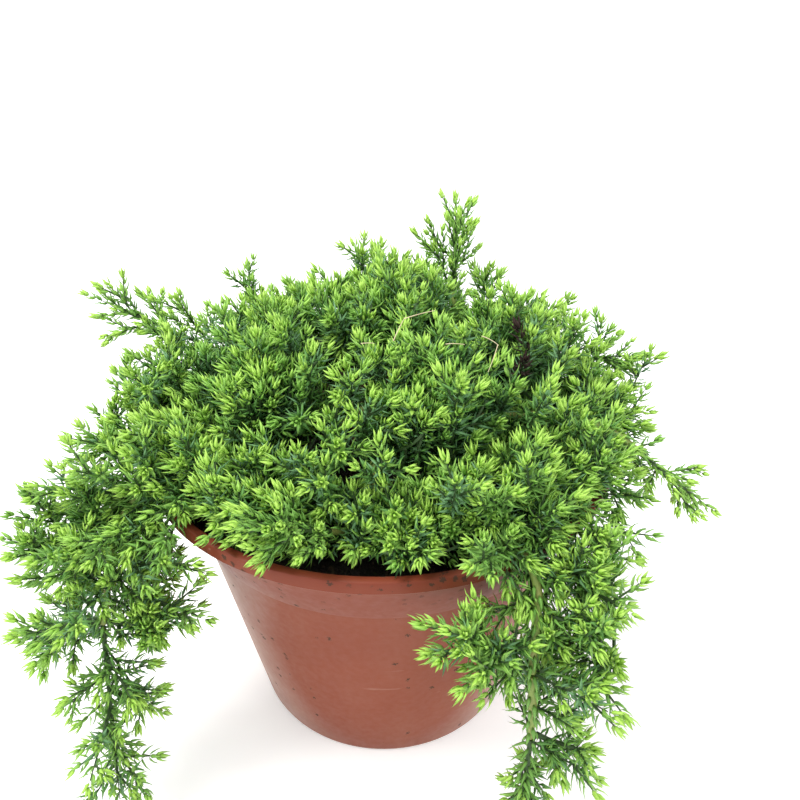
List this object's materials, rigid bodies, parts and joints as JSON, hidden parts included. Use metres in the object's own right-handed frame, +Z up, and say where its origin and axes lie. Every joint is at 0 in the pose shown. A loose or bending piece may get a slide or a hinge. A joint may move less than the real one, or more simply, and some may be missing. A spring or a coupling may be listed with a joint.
{
  "type": "potted garden juniper",
  "caption": "Low mounding garden conifer with dense prickly foliage in a round nursery pot, two long branches hanging over the rim.",
  "frame": {"origin": "middle of the pot's flat foot, on the ground", "axes": "+Z up, -Y towards the viewer of the front, +X to the right of that view"},
  "size_m": [0.2439, 0.2126, 0.1955],
  "materials": {
    "pot": "satin moulded plastic",
    "compost": "moist crumbly compost",
    "bark": "flaky bark",
    "green_stem": "green stem with scale leaves",
    "needles": "satin needles",
    "young_needles": "satin young needles"
  },
  "bodies": {
    "root": {"pot": "pot", "soil": "compost", "trunk": "bark", "bough_lower_front": "bark", "bough_lower_front_right": "bark", "bough_lower_right": "bark", "bough_lower_back_right": "bark", "bough_lower_back": "bark", "bough_lower_back_left": "bark", "bough_lower_left": "bark", "bough_lower_front_left": "bark", "bough_upper_front": "bark", "bough_upper_right": "bark", "bough_upper_back": "bark", "bough_upper_back_left": "bark", "bough_upper_left": "bark", "bough_shoot_top": "green_stem", "bough_shoot_upper_left": "green_stem", "bough_shoot_right": "green_stem", "bough_shoot_far_right": "green_stem", "bough_shoot_front": "green_stem", "bough_shoot_left": "green_stem", "bough_trailing_left": "green_stem", "bough_trailing_right": "green_stem", "stem_trailing_left_1": "green_stem", "stem_trailing_right_1": "green_stem", "stem_trailing_right_2": "green_stem", "foliage_lower_front": "needles", "foliage_lower_front_right": "needles", "foliage_lower_right": "needles", "foliage_lower_back_right": "needles", "foliage_lower_back": "needles", "foliage_lower_back_left": "needles", "foliage_lower_left": "needles", "foliage_lower_front_left": "needles", "foliage_upper_front": "needles", "foliage_upper_right": "needles", "foliage_upper_back": "needles", "foliage_upper_back_left": "needles", "foliage_upper_left": "needles", "foliage_top": "needles", "foliage_trailing_left_upper": "needles", "foliage_trailing_left_inner": "needles", "foliage_trailing_left_outer": "needles", "foliage_trailing_left_tip": "needles", "foliage_trailing_right_outer": "needles", "foliage_trailing_right_inner": "needles", "foliage_trailing_right_lower": "needles", "foliage_trailing_right_tip": "needles", "shoot_top": "young_needles", "shoot_upper_left": "young_needles", "shoot_right": "young_needles", "shoot_far_right": "young_needles", "shoot_front": "young_needles", "shoot_left": "young_needles"}
  },
  "joints": []
}
